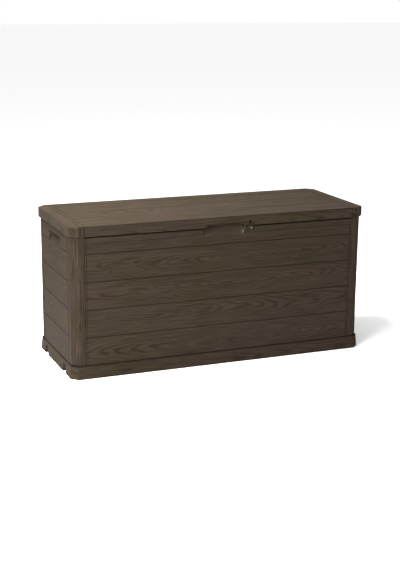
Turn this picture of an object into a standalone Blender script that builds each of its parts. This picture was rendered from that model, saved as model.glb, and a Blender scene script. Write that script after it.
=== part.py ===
"""Deck storage box with a hinged lid and two transport wheels.

Metres, +Z up.  X is the length (the wheels are at the -X end), Y the depth
(the front is at -Y).  The origin is on the ground, under the box's middle.
"""
import math

import bmesh
import bpy

# ---------------------------------------------------------------- sizes
LENGTH = 1.170
DEPTH = 0.450
HEIGHT = 0.560
GAP = 0.0003                    # space kept between pieces that touch

# Base tray
SKIRT_TOP = 0.050
SKIRT_LEAN = 0.0036             # how far the skirt's face leans in on its way up
SKIRT_CHAMFER = 0.025
SKIRT_WALL = 0.0035
FLOOR_THICKNESS = 0.0025
RIB = 0.0025
CROSS_BAYS = 10
LONG_RIBS = (-0.110, 0.0, 0.110)

# Walls
WALL_INSET = 0.0075             # the walls stand this far inside the lid's rim
WALL_TOP = 0.545
SKIN = 0.003
RIB_DEPTH = 0.0035
WALL_RIB = 0.004
EDGE_WIDTH = 0.010              # the thick strip at each end of a wall
RAIL_HEIGHT = 0.012             # the thick strip along a wall's foot and top
RAIL_SETBACK = 0.005
LONG_WALL_RIBS = 9
END_WALL_RIBS = 3
BACKING = 0.0035                # wall left behind a scoop
BACKING_MARGIN = 0.006
POST_WIDTH = 0.048
POST_CHAMFER = 0.024
POST_THICKNESS = 0.0045
TONGUE_REACH = 0.014
TONGUE_THICKNESS = 0.003
PLANK_PITCH = 0.102
GROOVE_WIDTH = 0.004
GROOVE_DEPTH = 0.0010

# Lid
RIM_HEIGHT = 0.038
RIM_WALL = 0.0035
LID_SKIN = 0.0030
LID_CHAMFER = 0.028
LID_RIB_DEPTH = 0.0050
LID_GROOVE_DEPTH = 0.0010
LID_CROSS_RIBS = 4              # on each side of the middle one
LID_CROSS_PITCH = 0.118
LID_LONG_RIBS = (-0.100, 0.0, 0.100)
LID_RIB_SETBACK = 0.022
LID_COVE = 0.003                # the inside corner between the rim and the skin
BAND_GROOVES = (0.546, 0.531)   # the two cross grooves beside each end band
TOP_GROOVES = (-0.092, 0.034, 0.160)
NOTCH_HEIGHT = 0.012
NOTCH_BOTTOM = 0.163
NOTCH_TOP = 0.126

# Finger scoop below the notch, and its backing
SCOOP_BOTTOM_Z = 0.491
SCOOP_TOP_Z = 0.535
SCOOP_DEPTH = 0.016
SCOOP_BOTTOM = 0.152
SCOOP_TOP = 0.177
SCOOP_DEEP = 0.143
SCOOP_LIP = 0.012               # height of the scoop's upright back

# Padlock eye and the slot above it
EYE_X = 0.110
EYE_Z = 0.511
EYE_THICKNESS = 0.006
EYE_RADIUS = 0.0055
EYE_HOLE_RADIUS = 0.0034
EYE_NOSE = 0.0060               # the tab's rounding starts this far behind the rim's face
EYE_PLATE_WIDTH = 0.020
EYE_PLATE_HEIGHT = 0.013
EYE_PLATE_THICKNESS = 0.0025
RECESS_WIDTH = 0.022
RECESS_DEPTH = 0.009
RECESS_BOTTOM_Z = 0.5035
RECESS_TOP_Z = 0.542
SLOT_X = 0.104
SLOT_Z = 0.5345
SLOT_WIDTH = 0.007
SLOT_HEIGHT = 0.014

# Carrying scoops in the ends
HANDLE_BOTTOM_Z = 0.452
HANDLE_TOP_Z = 0.497
HANDLE_WIDTH = 0.144
HANDLE_DEEP_WIDTH = 0.112
HANDLE_DEPTH = 0.020
HANDLE_SLOPE = 0.026            # how far the scoop's floor rises on its way in
GRIP_START = 0.009              # the finger grip above the scoop starts this deep
GRIP_RISE = 0.009
GRIP_FOOT = 0.004

# Hinges
HINGE_XS = (-0.400, 0.0, 0.400)
HINGE_Y = 0.2195
HINGE_Z = HEIGHT - RIM_HEIGHT
HINGE_WIDTH = 0.060
KNUCKLE_RADIUS = 0.0050
KNUCKLE_WIDTH = 0.015
PIN_RADIUS = 0.0022
LEAF_THICKNESS = 0.0022
LEAF_DROP = 0.046
LEAF_RISE = 0.030
LEAF_GAP = 0.0008
NECK_DROP = 0.003
PIN_SETBACK = 0.001
POCKET_SIDE = 0.001             # room beside the knuckles
POCKET_ROOM = 0.0015            # room above and below the knuckles
HINGE_BACKING = 0.012
SCREW_RADIUS = 0.0018
SCREW_HEAD_RADIUS = 0.0038
SCREW_SPREAD = 0.032
SCREW_RISE = 0.014              # above the leaf's lower edge
SCREW_DEPTH = 0.008
DRIVE_LENGTH = 0.0048
DRIVE_WIDTH = 0.0008

# Wheels
WHEEL_RADIUS = 0.021
WHEEL_WIDTH = 0.034
WHEEL_BORE = 0.0035
WHEEL_HUB = 0.0070
WHEEL_DISH = 0.006
WHEEL_TREAD = 0.006             # thickness of the tread ring beside the dish
WHEEL_SIDE_GAP = 0.0025
WHEEL_Y = 0.120
WHEEL_LIFT = 0.0008             # the wheels clear the ground by this much
WHEEL_SET_BACK = 0.0045         # behind the skirt's end face
WHEEL_CLEARANCE = 0.004         # to the first rib
AXLE_RADIUS = 0.0030
AXLE_REACH = 0.0290
CHEEK = 0.004
ARCH_WIDTH = 0.040
ARCH_HEIGHT = 0.034
ARCH_CORNER = 0.006
ARCH_DEPTH = 0.0095
END_RELIEF = 0.0025             # the wheel end's lower edge is cut back

HALF_X = LENGTH / 2
HALF_Y = DEPTH / 2
WALL_X = HALF_X - WALL_INSET
WALL_Y = HALF_Y - WALL_INSET
RIM_BOTTOM = HEIGHT - RIM_HEIGHT
WALL_FOOT = SKIRT_TOP + GAP
FLOOR_UNDER = SKIRT_TOP - FLOOR_THICKNESS
PANEL_END_X = WALL_X - POST_WIDTH
PANEL_END_Y = WALL_Y - POST_WIDTH
WHEEL_X = -HALF_X + WHEEL_SET_BACK + WHEEL_RADIUS
WHEEL_Z = WHEEL_RADIUS + WHEEL_LIFT
CUT = 0.010                     # how far a cutter runs past what it cuts
SINK = 0.0005                   # how far joined solids run into each other
PROUD = 0.0002                  # how far a scoop's cutter stands proud of the wall

# Height and inset of the outline, from the bottom up
SKIRT_PROFILE = ((0.0, 0.0022), (0.0007, 0.0008), (0.0024, 0.0),
                 (0.0440, SKIRT_LEAN), (0.0482, 0.0049), (SKIRT_TOP, 0.0063))
RIM_PROFILE = ((RIM_BOTTOM, 0.0010), (RIM_BOTTOM + 0.0014, 0.0), (HEIGHT - 0.0060, 0.0),
               (HEIGHT - 0.0036, 0.0006), (HEIGHT - 0.0016, 0.0019),
               (HEIGHT - 0.0004, 0.0040), (HEIGHT, 0.0062))


# ---------------------------------------------------------------- helpers
def clear_scene():
    for thing in list(bpy.data.objects):
        bpy.data.objects.remove(thing, do_unlink=True)


def plastic(name, colour, roughness, metallic=0.0):
    material = bpy.data.materials.new(name)
    material.use_nodes = True
    shader = material.node_tree.nodes["Principled BSDF"]
    shader.inputs["Base Color"].default_value = (*colour, 1.0)
    shader.inputs["Roughness"].default_value = roughness
    shader.inputs["Metallic"].default_value = metallic
    material.diffuse_color = (*colour, 1.0)
    return material


def add_object(name, build, material=None):
    """Make an object from a bmesh that build(mesh) fills."""
    mesh = bmesh.new()
    build(mesh)
    bmesh.ops.recalc_face_normals(mesh, faces=mesh.faces)
    data = bpy.data.meshes.new(name)
    mesh.to_mesh(data)
    mesh.free()
    thing = bpy.data.objects.new(name, data)
    bpy.context.scene.collection.objects.link(thing)
    if material:
        data.materials.append(material)
    return thing


def fill_loft(mesh, sections):
    """Skin a stack of outlines with equal point counts and cap both ends."""
    rings = [[mesh.verts.new(point) for point in section] for section in sections]
    count = len(rings[0])
    for lower, upper in zip(rings, rings[1:]):
        for i in range(count):
            j = (i + 1) % count
            mesh.faces.new((lower[i], lower[j], upper[j], upper[i]))
    mesh.faces.new(rings[0])
    mesh.faces.new(rings[-1])


def loft(name, sections, material=None):
    return add_object(name, lambda mesh: fill_loft(mesh, sections), material)


def box(name, low, high, material=None):
    outline = [(low[0], low[1]), (high[0], low[1]), (high[0], high[1]), (low[0], high[1])]
    sections = [[(x, y, z) for x, y in outline] for z in (low[2], high[2])]
    return loft(name, sections, material)


def place(axis, along, u, v):
    """A point from its place along an axis and the two other coordinates."""
    point = [u, v]
    point.insert(axis, along)
    return tuple(point)


def prism(name, outline, axis, start, end, material=None):
    """Run a flat outline along an axis (0, 1 or 2) from start to end."""
    sections = [[place(axis, along, u, v) for u, v in outline] for along in (start, end)]
    return loft(name, sections, material)


def circle(radius, centre=(0.0, 0.0), count=24):
    angles = [2 * math.pi * i / count for i in range(count)]
    return [(centre[0] + radius * math.cos(a), centre[1] + radius * math.sin(a)) for a in angles]


def rod(name, radius, axis, centre, start, end, material=None, count=24):
    """A cylinder along an axis; centre holds the two other coordinates."""
    thing = prism(name, circle(radius, centre, count), axis, start, end, material)
    smooth(thing)
    return thing


def chamfered(half_x, half_y, chamfer):
    """A rectangle's outline with its corners cut off at 45 degrees."""
    return [
        (-half_x + chamfer, -half_y), (half_x - chamfer, -half_y),
        (half_x, -half_y + chamfer), (half_x, half_y - chamfer),
        (half_x - chamfer, half_y), (-half_x + chamfer, half_y),
        (-half_x, half_y - chamfer), (-half_x, -half_y + chamfer),
    ]


def chamfered_stack(half_x, half_y, chamfer, levels):
    """Outlines of one chamfered rectangle, drawn in by an inset at each height."""
    stack = []
    for z, inset in levels:
        outline = chamfered(half_x - inset, half_y - inset, chamfer - inset * (2 - math.sqrt(2)))
        stack.append([(x, y, z) for x, y in outline])
    return stack


def smooth(thing, degrees=35):
    thing.data.shade_smooth()
    thing.data.set_sharp_from_angle(angle=math.radians(degrees))


def hide_tool(tool):
    tool.hide_render = True
    tool.display_type = "WIRE"


def combine(target, tool, operation):
    """Add a Boolean with another object, which becomes a hidden tool."""
    hide_tool(tool)
    modifier = target.modifiers.new(tool.name, "BOOLEAN")
    modifier.operation = operation
    modifier.object = tool
    modifier.solver = "EXACT"


def cut(target, tool):
    combine(target, tool, "DIFFERENCE")


def join(target, tool):
    combine(target, tool, "UNION")


# ---------------------------------------------------------------- base tray
def cross_rib_places():
    """Where the cross ribs stand under the floor, starting behind the wheels."""
    first = WHEEL_X + WHEEL_RADIUS + WHEEL_CLEARANCE
    pitch = (HALF_X - SKIRT_WALL - first) / CROSS_BAYS
    return [first + pitch * i for i in range(CROSS_BAYS)]


def underside_tool():
    """The hollow under the floor, with the ribs left standing in it."""
    hollow = loft("tool_underside", chamfered_stack(
        HALF_X - SKIRT_WALL, HALF_Y - SKIRT_WALL, SKIRT_CHAMFER - SKIRT_WALL * (2 - math.sqrt(2)),
        ((-CUT, 0.0), (0.0, 0.0), (FLOOR_UNDER, SKIRT_LEAN))))
    cross = cross_rib_places()
    for number, x in enumerate(cross):
        cut(hollow, box(f"tool_cross_rib_{number}", (x, -DEPTH, -2 * CUT), (x + RIB, DEPTH, HEIGHT)))
    for number, y in enumerate(LONG_RIBS):
        cut(hollow, box(f"tool_long_rib_{number}",
                        (cross[0], y - RIB / 2, -2 * CUT), (LENGTH, y + RIB / 2, HEIGHT)))
    for side in (-1, 1):
        for hand in (-1, 1):
            inner = side * WHEEL_Y + hand * (WHEEL_WIDTH / 2 + WHEEL_SIDE_GAP)
            outer = inner + hand * CHEEK
            cut(hollow, box(f"tool_cheek_{side}_{hand}",
                            (-LENGTH, min(inner, outer), -2 * CUT),
                            (cross[0] + RIB / 2, max(inner, outer), HEIGHT)))
    return hollow


def arch_outline(centre_y):
    """A wheel opening: upright sides and a round top."""
    half = ARCH_WIDTH / 2
    radius = ARCH_CORNER
    points = [(centre_y - half, -CUT), (centre_y + half, -CUT)]
    for turn in range(0, 7):
        angle = math.pi / 2 * turn / 6
        points.append((centre_y + half - radius + radius * math.cos(angle),
                       ARCH_HEIGHT - radius + radius * math.sin(angle)))
    for turn in range(0, 7):
        angle = math.pi / 2 * (1 + turn / 6)
        points.append((centre_y - half + radius + radius * math.cos(angle),
                       ARCH_HEIGHT - radius + radius * math.sin(angle)))
    return points


def build_base_tray(material):
    tray = loft("base_tray", chamfered_stack(HALF_X, HALF_Y, SKIRT_CHAMFER, SKIRT_PROFILE), material)
    cut(tray, underside_tool())
    relief = [(-HALF_X - CUT, END_RELIEF), (-HALF_X, END_RELIEF), (WHEEL_X, 0.0), (WHEEL_X, -CUT),
              (-HALF_X - CUT, -CUT)]
    cut(tray, prism("tool_relief", relief, 1, -DEPTH, DEPTH))
    for side in (-1, 1):
        y = side * WHEEL_Y
        cut(tray, prism(f"tool_arch_{side}", arch_outline(y), 0, -LENGTH, -HALF_X + ARCH_DEPTH))
        reach = AXLE_REACH + 0.001
        cut(tray, rod(f"tool_axle_hole_{side}", AXLE_RADIUS + GAP, 1, (WHEEL_X, WHEEL_Z),
                      y - reach, y + reach))
    return tray


# ---------------------------------------------------------------- walls
def groove_heights():
    return [SKIRT_TOP + PLANK_PITCH * i for i in range(1, 5)]


def skin_outline(face, inward):
    """A wall's upright section: grooved outside, flat inside.

    face is the outer face's place and inward is the sign of the way in.
    """
    points = [(face, WALL_FOOT)]
    for z in groove_heights():
        points.append((face, z - GROOVE_WIDTH / 2))
        points.append((face + inward * GROOVE_DEPTH, z))
        points.append((face, z + GROOVE_WIDTH / 2))
    points.append((face, WALL_TOP))
    points.append((face + inward * SKIN, WALL_TOP))
    points.append((face + inward * SKIN, WALL_FOOT))
    return points


def oriented_box(name, axis, along, across, heights, material=None):
    """A box from its spans along a wall, across it and in height."""
    low = place(axis, along[0], min(across), heights[0])
    high = place(axis, along[1], max(across), heights[1])
    return box(name, low, high, material)


def build_wall(name, axis, face, inward, half_length, rib_count, material):
    """A planked skin with low ribs inside and a tongue behind each corner post.

    axis is 0 for the long walls and 1 for the ends.
    """
    wall = prism(name, skin_outline(face, inward), axis, -half_length + GAP, half_length - GAP, material)
    back = face + inward * (SKIN - SINK)
    rib_face = face + inward * (SKIN + RIB_DEPTH)
    heights = (WALL_FOOT, WALL_TOP)
    for end in (-1, 1):
        inner = end * (half_length - EDGE_WIDTH)
        outer = end * (half_length - GAP)
        join(wall, oriented_box(f"tool_{name}_edge_{end}", axis, sorted((inner, outer)),
                                (back, rib_face), heights))
        outer = end * (half_length + TONGUE_REACH)
        tongue = (rib_face - inward * GAP, rib_face + inward * TONGUE_THICKNESS)
        join(wall, oriented_box(f"tool_{name}_tongue_{end}", axis, sorted((inner, outer)), tongue, heights))
    rail = (-half_length + RAIL_SETBACK, half_length - RAIL_SETBACK)
    for z in (WALL_FOOT, WALL_TOP - RAIL_HEIGHT):
        join(wall, oriented_box(f"tool_{name}_rail_{z:.2f}", axis, rail,
                                (back, rib_face), (z, z + RAIL_HEIGHT)))
    for number in range(1, rib_count + 1):
        along = -half_length + 2 * half_length * number / (rib_count + 1)
        join(wall, oriented_box(f"tool_{name}_rib_{number}", axis,
                                (along - WALL_RIB / 2, along + WALL_RIB / 2),
                                (back, rib_face), heights))
    return wall


def build_front_panel(material):
    panel = build_wall("front_panel", 0, -WALL_Y, 1, PANEL_END_X, LONG_WALL_RIBS, material)
    backing_x = (-SCOOP_TOP / 2 - BACKING_MARGIN, EYE_X + RECESS_WIDTH / 2 + BACKING_MARGIN)
    join(panel, box("tool_scoop_backing",
                    (backing_x[0], -WALL_Y + SKIN - SINK, SCOOP_BOTTOM_Z - BACKING_MARGIN),
                    (backing_x[1], -WALL_Y + SCOOP_DEPTH + BACKING, WALL_TOP)))
    outside = -WALL_Y - PROUD
    mouth = [(-SCOOP_BOTTOM / 2, outside, SCOOP_BOTTOM_Z), (SCOOP_BOTTOM / 2, outside, SCOOP_BOTTOM_Z),
             (SCOOP_TOP / 2, outside, SCOOP_TOP_Z), (-SCOOP_TOP / 2, outside, SCOOP_TOP_Z)]
    deep_y = -WALL_Y + SCOOP_DEPTH
    lip_z = SCOOP_TOP_Z - SCOOP_LIP
    deep = [(-SCOOP_DEEP / 2, deep_y, lip_z), (SCOOP_DEEP / 2, deep_y, lip_z),
            (SCOOP_DEEP / 2, deep_y, SCOOP_TOP_Z), (-SCOOP_DEEP / 2, deep_y, SCOOP_TOP_Z)]
    cut(panel, loft("tool_scoop", [mouth, deep]))
    cut(panel, box("tool_eye_recess", (EYE_X - RECESS_WIDTH / 2, -HALF_Y, RECESS_BOTTOM_Z),
                   (EYE_X + RECESS_WIDTH / 2, -WALL_Y + RECESS_DEPTH, RECESS_TOP_Z)))
    return panel


def build_rear_panel(material):
    panel = build_wall("rear_panel", 0, WALL_Y, -1, PANEL_END_X, LONG_WALL_RIBS, material)
    for number, x in enumerate(HINGE_XS, 1):
        half = HINGE_WIDTH / 2
        wide = half + BACKING_MARGIN
        join(panel, box(f"tool_hinge_backing_{number}",
                        (x - wide, WALL_Y - HINGE_BACKING, HINGE_Z - LEAF_DROP),
                        (x + wide, WALL_Y - SKIN + SINK, HINGE_Z + 2 * BACKING_MARGIN)))
        wide = half + POCKET_SIDE
        room = KNUCKLE_RADIUS + POCKET_ROOM
        cut(panel, box(f"tool_knuckle_pocket_{number}",
                       (x - wide, HINGE_Y - KNUCKLE_RADIUS - POCKET_ROOM / 2, HINGE_Z - room),
                       (x + wide, HALF_Y, HINGE_Z + room)))
        for side in (-1, 1):
            cut(panel, rod(f"tool_pilot_{number}_{side}", SCREW_RADIUS + GAP, 1,
                           (x + side * SCREW_SPREAD / 2, HINGE_Z - LEAF_DROP + SCREW_RISE),
                           WALL_Y - SCREW_DEPTH - 0.001, HALF_Y, count=16))
    return panel


def build_end_panel(name, side, material):
    """An end wall with a carrying scoop; side is -1 for the wheel end."""
    face = side * WALL_X
    panel = build_wall(name, 1, face, -side, PANEL_END_Y, END_WALL_RIBS, material)
    half = HANDLE_WIDTH / 2
    wide = half + BACKING_MARGIN
    backing = sorted((face - side * (SKIN - SINK), face - side * (HANDLE_DEPTH + BACKING)))
    join(panel, box(f"tool_{name}_backing", (backing[0], -wide, HANDLE_BOTTOM_Z - BACKING_MARGIN),
                    (backing[1], wide, HANDLE_TOP_Z + GRIP_RISE + BACKING)))
    outside = face + side * PROUD
    deep_x = face - side * HANDLE_DEPTH
    deep = HANDLE_DEEP_WIDTH / 2
    deep_z = HANDLE_BOTTOM_Z + HANDLE_SLOPE
    mouth = [(outside, -half, HANDLE_BOTTOM_Z), (outside, half, HANDLE_BOTTOM_Z),
             (outside, half, HANDLE_TOP_Z), (outside, -half, HANDLE_TOP_Z)]
    back = [(deep_x, -deep, deep_z), (deep_x, deep, deep_z),
            (deep_x, deep, HANDLE_TOP_Z), (deep_x, -deep, HANDLE_TOP_Z)]
    cut(panel, loft(f"tool_{name}_scoop", [mouth, back]))
    grip = sorted((face - side * GRIP_START, deep_x))
    cut(panel, box(f"tool_{name}_grip", (grip[0], -deep, deep_z + GRIP_FOOT),
                   (grip[1], deep, HANDLE_TOP_Z + GRIP_RISE)))
    return panel


def build_corner_post(name, side_x, side_y, material):
    """An angle post with its outer corner cut off at 45 degrees."""
    slack = POST_THICKNESS * (2 - math.sqrt(2))
    outline = [
        (WALL_X, PANEL_END_Y), (WALL_X, WALL_Y - POST_CHAMFER),
        (WALL_X - POST_CHAMFER, WALL_Y), (PANEL_END_X, WALL_Y),
        (PANEL_END_X, WALL_Y - POST_THICKNESS),
        (WALL_X - POST_CHAMFER - POST_THICKNESS + slack, WALL_Y - POST_THICKNESS),
        (WALL_X - POST_THICKNESS, WALL_Y - POST_CHAMFER - POST_THICKNESS + slack),
        (WALL_X - POST_THICKNESS, PANEL_END_Y),
    ]
    outline = [(side_x * x, side_y * y) for x, y in outline]
    return prism(name, outline, 2, WALL_FOOT, WALL_TOP, material)


# ---------------------------------------------------------------- padlock eye
def build_padlock_eye(material):
    plate_back = -WALL_Y + RECESS_DEPTH - GAP
    plate_x, plate_z = EYE_PLATE_WIDTH / 2, EYE_PLATE_HEIGHT / 2
    eye = box("padlock_eye", (EYE_X - plate_x, plate_back - EYE_PLATE_THICKNESS, EYE_Z - plate_z),
              (EYE_X + plate_x, plate_back, EYE_Z + plate_z), material)
    tab = []
    nose = -HALF_Y + EYE_NOSE
    for turn in range(0, 9):
        angle = -math.pi / 2 - math.pi * turn / 8
        tab.append((nose + EYE_RADIUS * math.cos(angle), EYE_Z + EYE_RADIUS * math.sin(angle)))
    tab_back = plate_back - EYE_PLATE_THICKNESS / 2
    tab.append((tab_back, EYE_Z + EYE_RADIUS))
    tab.append((tab_back, EYE_Z - EYE_RADIUS))
    half = EYE_THICKNESS / 2
    join(eye, prism("tool_eye_tab", tab, 0, EYE_X - half, EYE_X + half))
    cut(eye, rod("tool_eye_hole", EYE_HOLE_RADIUS, 0, (nose, EYE_Z), EYE_X - 2 * half, EYE_X + 2 * half))
    return eye


# ---------------------------------------------------------------- lid
def vee(centre, surface, depth, outward):
    """A vee groove's outline, open past the surface it is cut into."""
    half = GROOVE_WIDTH / 2
    far = surface + outward * CUT
    spread = half * (1 + CUT / depth)
    return [(centre - spread, far), (centre, surface - outward * depth), (centre + spread, far)]


def cut_lid_grooves(lid):
    inner_groove = BAND_GROOVES[1]
    for side in (-1, 1):
        for number, x in enumerate(BAND_GROOVES):
            name = f"tool_band_{side}_{number}"
            outline = vee(side * x, HEIGHT, LID_GROOVE_DEPTH, 1)
            cut(lid, prism(f"{name}_top", outline, 1, -DEPTH, DEPTH))
            for face in (-1, 1):
                outline = vee(side * x, face * HALF_Y, LID_GROOVE_DEPTH, face)
                cut(lid, prism(f"{name}_rim_{face}", outline, 2, 0.0, HEIGHT + CUT))
    for number, y in enumerate(TOP_GROOVES):
        outline = vee(y, HEIGHT, LID_GROOVE_DEPTH, 1)
        cut(lid, prism(f"tool_top_groove_{number}", outline, 0, -inner_groove, inner_groove))


def slot_outline():
    """The padlock slot: an upright hole with round ends."""
    radius = SLOT_WIDTH / 2
    reach = SLOT_HEIGHT / 2 - radius
    points = []
    for end in (1, -1):
        for turn in range(0, 9):
            angle = math.pi * turn / 8 + (0 if end > 0 else math.pi)
            points.append((SLOT_X + radius * math.cos(angle),
                           SLOT_Z + end * reach + radius * math.sin(angle)))
    return points


def join_lid_ribs(lid):
    """Shallow ribs under the lid's skin, clear of the walls' top edges."""
    top = HEIGHT - LID_SKIN + SINK
    bottom = HEIGHT - LID_SKIN - LID_RIB_DEPTH
    reach_x = HALF_X - RIM_WALL - LID_RIB_SETBACK
    reach_y = HALF_Y - RIM_WALL - LID_RIB_SETBACK
    for number in range(-LID_CROSS_RIBS, LID_CROSS_RIBS + 1):
        x = number * LID_CROSS_PITCH
        join(lid, box(f"tool_lid_cross_{number}", (x - RIB / 2, -reach_y, bottom),
                      (x + RIB / 2, reach_y, top)))
    for number, y in enumerate(LID_LONG_RIBS):
        join(lid, box(f"tool_lid_long_{number}", (-reach_x, y - RIB / 2, bottom),
                      (reach_x, y + RIB / 2, top)))


def build_lid_shell(material):
    lid = loft("lid_shell", chamfered_stack(HALF_X, HALF_Y, LID_CHAMFER, RIM_PROFILE), material)
    ceiling = HEIGHT - LID_SKIN
    cut(lid, loft("tool_lid_hollow", chamfered_stack(
        HALF_X - RIM_WALL, HALF_Y - RIM_WALL, LID_CHAMFER - RIM_WALL * (2 - math.sqrt(2)),
        ((RIM_BOTTOM - CUT, 0.0), (ceiling - LID_COVE, 0.0), (ceiling, LID_COVE)))))
    join_lid_ribs(lid)
    cut_lid_grooves(lid)
    notch = [(-NOTCH_BOTTOM / 2, RIM_BOTTOM - CUT), (NOTCH_BOTTOM / 2, RIM_BOTTOM - CUT),
             (NOTCH_BOTTOM / 2, RIM_BOTTOM), (NOTCH_TOP / 2, RIM_BOTTOM + NOTCH_HEIGHT),
             (-NOTCH_TOP / 2, RIM_BOTTOM + NOTCH_HEIGHT), (-NOTCH_BOTTOM / 2, RIM_BOTTOM)]
    behind_rim = -HALF_Y + 2 * RIM_WALL
    cut(lid, prism("tool_notch", notch, 1, -DEPTH, behind_rim))
    cut(lid, prism("tool_slot", slot_outline(), 1, -DEPTH, behind_rim))
    for number, x in enumerate(HINGE_XS, 1):
        half = HINGE_WIDTH / 2 + POCKET_SIDE
        cut(lid, box(f"tool_rim_gap_{number}", (x - half, HALF_Y - 1.5 * RIM_WALL, RIM_BOTTOM - CUT),
                     (x + half, HALF_Y + CUT, RIM_BOTTOM + KNUCKLE_RADIUS + POCKET_ROOM)))
    return lid


# ---------------------------------------------------------------- hinges
def build_hinge(number, x, plastic_material, steel):
    """Two leaves and a pin; the lid's leaf carries the middle knuckle."""
    half = HINGE_WIDTH / 2
    side_width = KNUCKLE_WIDTH
    bore = PIN_RADIUS + GAP
    centre = (HINGE_Y, HINGE_Z)

    face = WALL_Y + GAP
    name = f"hinge_body_leaf_{number}"
    leaf = box(name, (x - half, face, HINGE_Z - LEAF_DROP),
               (x + half, face + LEAF_THICKNESS, HINGE_Z - KNUCKLE_RADIUS - LEAF_GAP), plastic_material)
    for side in (-1, 1):
        ends = sorted((x + side * half, x + side * (half - side_width)))
        neck = (HINGE_Z - KNUCKLE_RADIUS - NECK_DROP, HINGE_Z)
        join(leaf, box(f"tool_{name}_neck_{side}", (ends[0], face, neck[0]),
                       (ends[1], face + LEAF_THICKNESS, neck[1])))
        join(leaf, rod(f"tool_{name}_knuckle_{side}", KNUCKLE_RADIUS, 0, centre, ends[0], ends[1]))
        cut(leaf, rod(f"tool_{name}_hole_{side}", SCREW_RADIUS + GAP, 1,
                      (x + side * SCREW_SPREAD / 2, HINGE_Z - LEAF_DROP + SCREW_RISE),
                      WALL_Y - CUT, HALF_Y, count=16))
    cut(leaf, rod(f"tool_{name}_bore", bore, 0, centre, x - half - CUT, x + half + CUT))

    name = f"hinge_lid_leaf_{number}"
    middle = half - side_width - 2 * GAP
    rim_face = HALF_Y - RIM_WALL - GAP
    lid_leaf = rod(name, KNUCKLE_RADIUS, 0, centre, x - middle, x + middle, plastic_material)
    join(lid_leaf, box(f"tool_{name}_plate", (x - middle, rim_face - LEAF_THICKNESS, HINGE_Z),
                       (x + middle, rim_face, HINGE_Z + LEAF_RISE)))
    cut(lid_leaf, rod(f"tool_{name}_bore", bore, 0, centre, x - half, x + half))

    reach = half - PIN_SETBACK
    rod(f"hinge_pin_{number}", PIN_RADIUS, 0, centre, x - reach, x + reach, steel, count=20)

    for index, side in enumerate((-1, 1), 1):
        build_screw(f"hinge_screw_{number}_{index}", x + side * SCREW_SPREAD / 2,
                    HINGE_Z - LEAF_DROP + SCREW_RISE, face + LEAF_THICKNESS + GAP, steel)


def build_screw(name, x, z, seat, material):
    """A pan-head screw driven from behind; seat is the leaf's outer face."""
    profile = [(SCREW_HEAD_RADIUS, 0.0), (SCREW_HEAD_RADIUS, 0.0008), (SCREW_HEAD_RADIUS * 0.7, 0.0018)]
    sections = [[(x + u, WALL_Y - SCREW_DEPTH, z + v) for u, v in circle(SCREW_RADIUS, count=16)],
                [(x + u, seat, z + v) for u, v in circle(SCREW_RADIUS, count=16)]]
    for radius, rise in profile:
        sections.append([(x + u, seat + rise, z + v) for u, v in circle(radius, count=16)])
    screw = loft(name, sections, material)
    cut(screw, box(f"tool_{name}_drive", (x - DRIVE_LENGTH / 2, seat + DRIVE_WIDTH, z - DRIVE_WIDTH / 2),
                   (x + DRIVE_LENGTH / 2, seat + CUT, z + DRIVE_WIDTH / 2)))
    smooth(screw)
    return screw


# ---------------------------------------------------------------- wheels
def build_wheel(name, y, material):
    """A roller turned about its axle, with soft shoulders and dished sides."""
    half = WHEEL_WIDTH / 2
    profile = [
        (WHEEL_BORE, -half + 0.004), (WHEEL_HUB, -half + 0.004),
        (WHEEL_HUB + 0.0015, -half + WHEEL_DISH), (WHEEL_RADIUS - WHEEL_TREAD, -half + WHEEL_DISH),
        (WHEEL_RADIUS - WHEEL_TREAD + 0.001, -half), (WHEEL_RADIUS - 0.0025, -half),
        (WHEEL_RADIUS - 0.0008, -half + 0.0012), (WHEEL_RADIUS, -half + 0.0035),
    ]
    profile += [(radius, -across) for radius, across in reversed(profile)]
    segments = 40

    def fill(mesh):
        rings = []
        for step in range(segments):
            angle = 2 * math.pi * step / segments
            rings.append([mesh.verts.new((r * math.cos(angle), across, r * math.sin(angle)))
                          for r, across in profile])
        count = len(profile)
        for step in range(segments):
            this_ring = rings[step]
            next_ring = rings[(step + 1) % segments]
            for i in range(count):
                j = (i + 1) % count
                mesh.faces.new((this_ring[i], this_ring[j], next_ring[j], next_ring[i]))

    wheel = add_object(name, fill, material)
    wheel.location = (WHEEL_X, y, WHEEL_Z)
    smooth(wheel)
    return wheel


# ---------------------------------------------------------------- assembly
def hang_lid(moving):
    """Hang the lid's pieces from an empty on the hinge line."""
    line = bpy.data.objects.new("lid_hinge_line", None)
    line.location = (0.0, HINGE_Y, HINGE_Z)
    bpy.context.scene.collection.objects.link(line)
    bpy.context.view_layer.update()
    for thing in moving:
        thing.parent = line
        thing.matrix_parent_inverse = line.matrix_world.inverted()
        for modifier in thing.modifiers:
            tool = modifier.object
            tool.parent = line
            tool.matrix_parent_inverse = line.matrix_world.inverted()


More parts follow.
